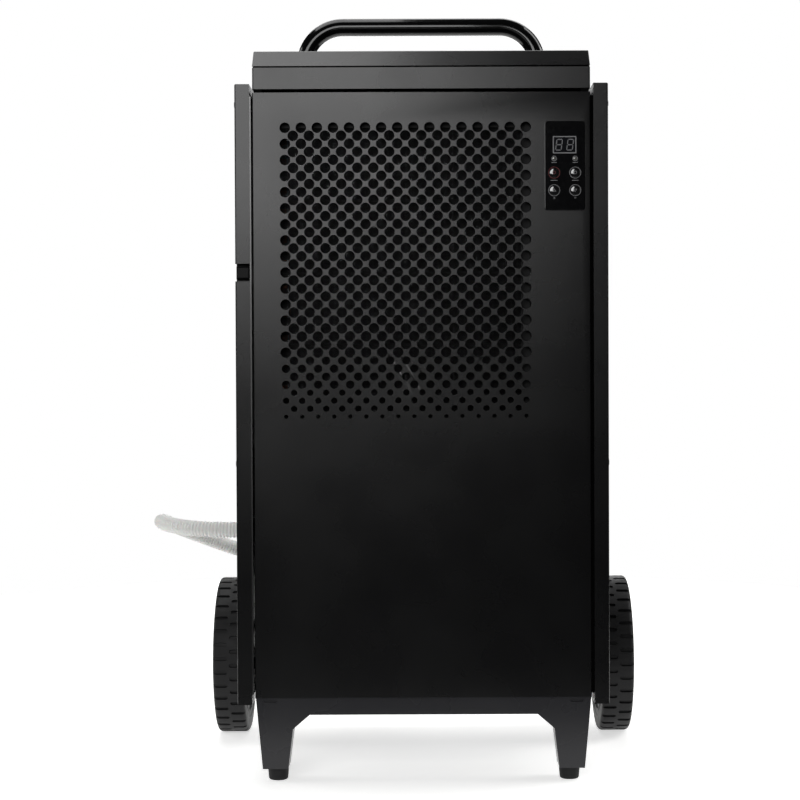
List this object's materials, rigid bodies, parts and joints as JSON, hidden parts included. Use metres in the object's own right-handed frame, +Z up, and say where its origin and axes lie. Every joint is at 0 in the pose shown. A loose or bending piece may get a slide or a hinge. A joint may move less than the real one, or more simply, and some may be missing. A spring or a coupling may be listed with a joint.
{
  "type": "dehumidifier",
  "caption": "Upright wheeled dehumidifier: perforated steel case on two legs and two wheels, bar handle, side-sliding filter and white drain hose.",
  "frame": {"origin": "on the floor, at the middle of the machine's own box, its free hose left out", "axes": "+Z up, front towards -Y, +X to the right when facing the front"},
  "size_m": [0.6719, 0.769, 1.029],
  "materials": {
    "powder_coat_black": "satin black powder coat on steel sheet",
    "enamel_gloss_black": "gloss black enamel on steel tube",
    "zinc_plate": "bright zinc plate",
    "blackened_steel": "black oxide screws",
    "foot_rubber": "moulded black rubber",
    "tyre_rubber": "moulded black tread",
    "wheel_plastic": "moulded black polypropylene",
    "bezel_abs": "gloss black ABS",
    "window_acrylic": "smoked acrylic",
    "lens_acrylic": "clear acrylic",
    "button_abs": "gloss black ABS",
    "board_laminate": "green glass-fibre laminate",
    "filter_plastic": "moulded black polypropylene",
    "filter_weave": "woven nylon screen",
    "galvanised_sheet": "galvanised steel sheet",
    "fin_aluminium": "mill aluminium fins",
    "copper_tube": "drawn copper",
    "tray_plastic": "moulded grey ABS",
    "fan_plastic": "glass-filled black nylon",
    "compressor_enamel": "black enamel on a steel can",
    "motor_enamel": "grey enamel",
    "hose_pvc": "white corrugated PVC",
    "tie_plastic": "black strap",
    "gland_nylon": "black nylon",
    "box_plastic": "grey flame-retardant ABS"
  },
  "bodies": {
    "chassis": {"base_pan": "powder_coat_black", "leg_frame": "powder_coat_black", "feet": "foot_rubber", "axle_brackets": "powder_coat_black", "axle": "zinc_plate", "axle_hardware": "zinc_plate", "front_posts": "powder_coat_black", "rear_posts": "powder_coat_black", "top_frame": "powder_coat_black", "deck": "galvanised_sheet", "cover_brackets": "powder_coat_black", "side_cover_left": "powder_coat_black", "side_cover_right": "powder_coat_black", "front_panel": "powder_coat_black", "header_rail": "powder_coat_black", "top_cover": "powder_coat_black", "rear_panel": "powder_coat_black", "handle_tube": "enamel_gloss_black", "handle_plugs": "gland_nylon", "handle_clamps": "powder_coat_black", "control_bezel": "bezel_abs", "display_window": "window_acrylic", "led_lenses": "lens_acrylic", "control_board": "board_laminate", "filter_guides": "galvanised_sheet", "evaporator_fins": "fin_aluminium", "evaporator_tube": "copper_tube", "condenser_fins": "fin_aluminium", "condenser_tube": "copper_tube", "drip_tray": "tray_plastic", "fan_shroud": "galvanised_sheet", "motor_bracket": "galvanised_sheet", "fan_motor": "motor_enamel", "compressor": "compressor_enamel", "compressor_mounts": "foot_rubber", "accumulator": "compressor_enamel", "refrigerant_pipes": "copper_tube", "drain_tube": "tray_plastic", "drain_spigot": "gland_nylon", "drain_hose": "hose_pvc", "hose_coil": "hose_pvc", "hose_ties": "tie_plastic", "electrics_box": "box_plastic", "run_capacitor": "tray_plastic", "mains_gland": "gland_nylon", "panel_screws": "blackened_steel"},
    "left_wheel": {"tyre_left": "tyre_rubber", "wheel_left": "wheel_plastic", "wheel_cap_left": "wheel_plastic"},
    "right_wheel": {"tyre_right": "tyre_rubber", "wheel_right": "wheel_plastic", "wheel_cap_right": "wheel_plastic"},
    "fan": {"fan_impeller": "fan_plastic", "fan_shaft": "zinc_plate"},
    "air_filter": {"filter_frame": "filter_plastic", "filter_mesh": "filter_weave"},
    "power_button": {"button_power": "button_abs"},
    "timer_button": {"button_timer": "button_abs"},
    "up_button": {"button_up": "button_abs"},
    "down_button": {"button_down": "button_abs"}
  },
  "joints": [
    {"name": "wheel_left_spin", "type": "hinge", "parent": "chassis", "child": "left_wheel", "pos_m": [-0.27, 0.121, 0.11], "axis": [1, 0, 0], "continuous": true},
    {"name": "wheel_right_spin", "type": "hinge", "parent": "chassis", "child": "right_wheel", "pos_m": [0.27, 0.121, 0.11], "axis": [1, 0, 0], "continuous": true},
    {"name": "fan_spin", "type": "hinge", "parent": "chassis", "child": "fan", "pos_m": [0, 0.106, 0.641], "axis": [0, 1, 0], "continuous": true},
    {"name": "filter_slide", "type": "slide", "parent": "chassis", "child": "air_filter", "axis": [-1, 0, 0], "range_m": [0, 0.375]},
    {"name": "power_press", "type": "slide", "parent": "chassis", "child": "power_button", "axis": [0, 1, 0], "range_m": [0, 0.0008], "stiffness_N_per_m": 400, "springref_m": -0.0005},
    {"name": "timer_press", "type": "slide", "parent": "chassis", "child": "timer_button", "axis": [0, 1, 0], "range_m": [0, 0.0008], "stiffness_N_per_m": 400, "springref_m": -0.0005},
    {"name": "up_press", "type": "slide", "parent": "chassis", "child": "up_button", "axis": [0, 1, 0], "range_m": [0, 0.0008], "stiffness_N_per_m": 400, "springref_m": -0.0005},
    {"name": "down_press", "type": "slide", "parent": "chassis", "child": "down_button", "axis": [0, 1, 0], "range_m": [0, 0.0008], "stiffness_N_per_m": 400, "springref_m": -0.0005}
  ]
}
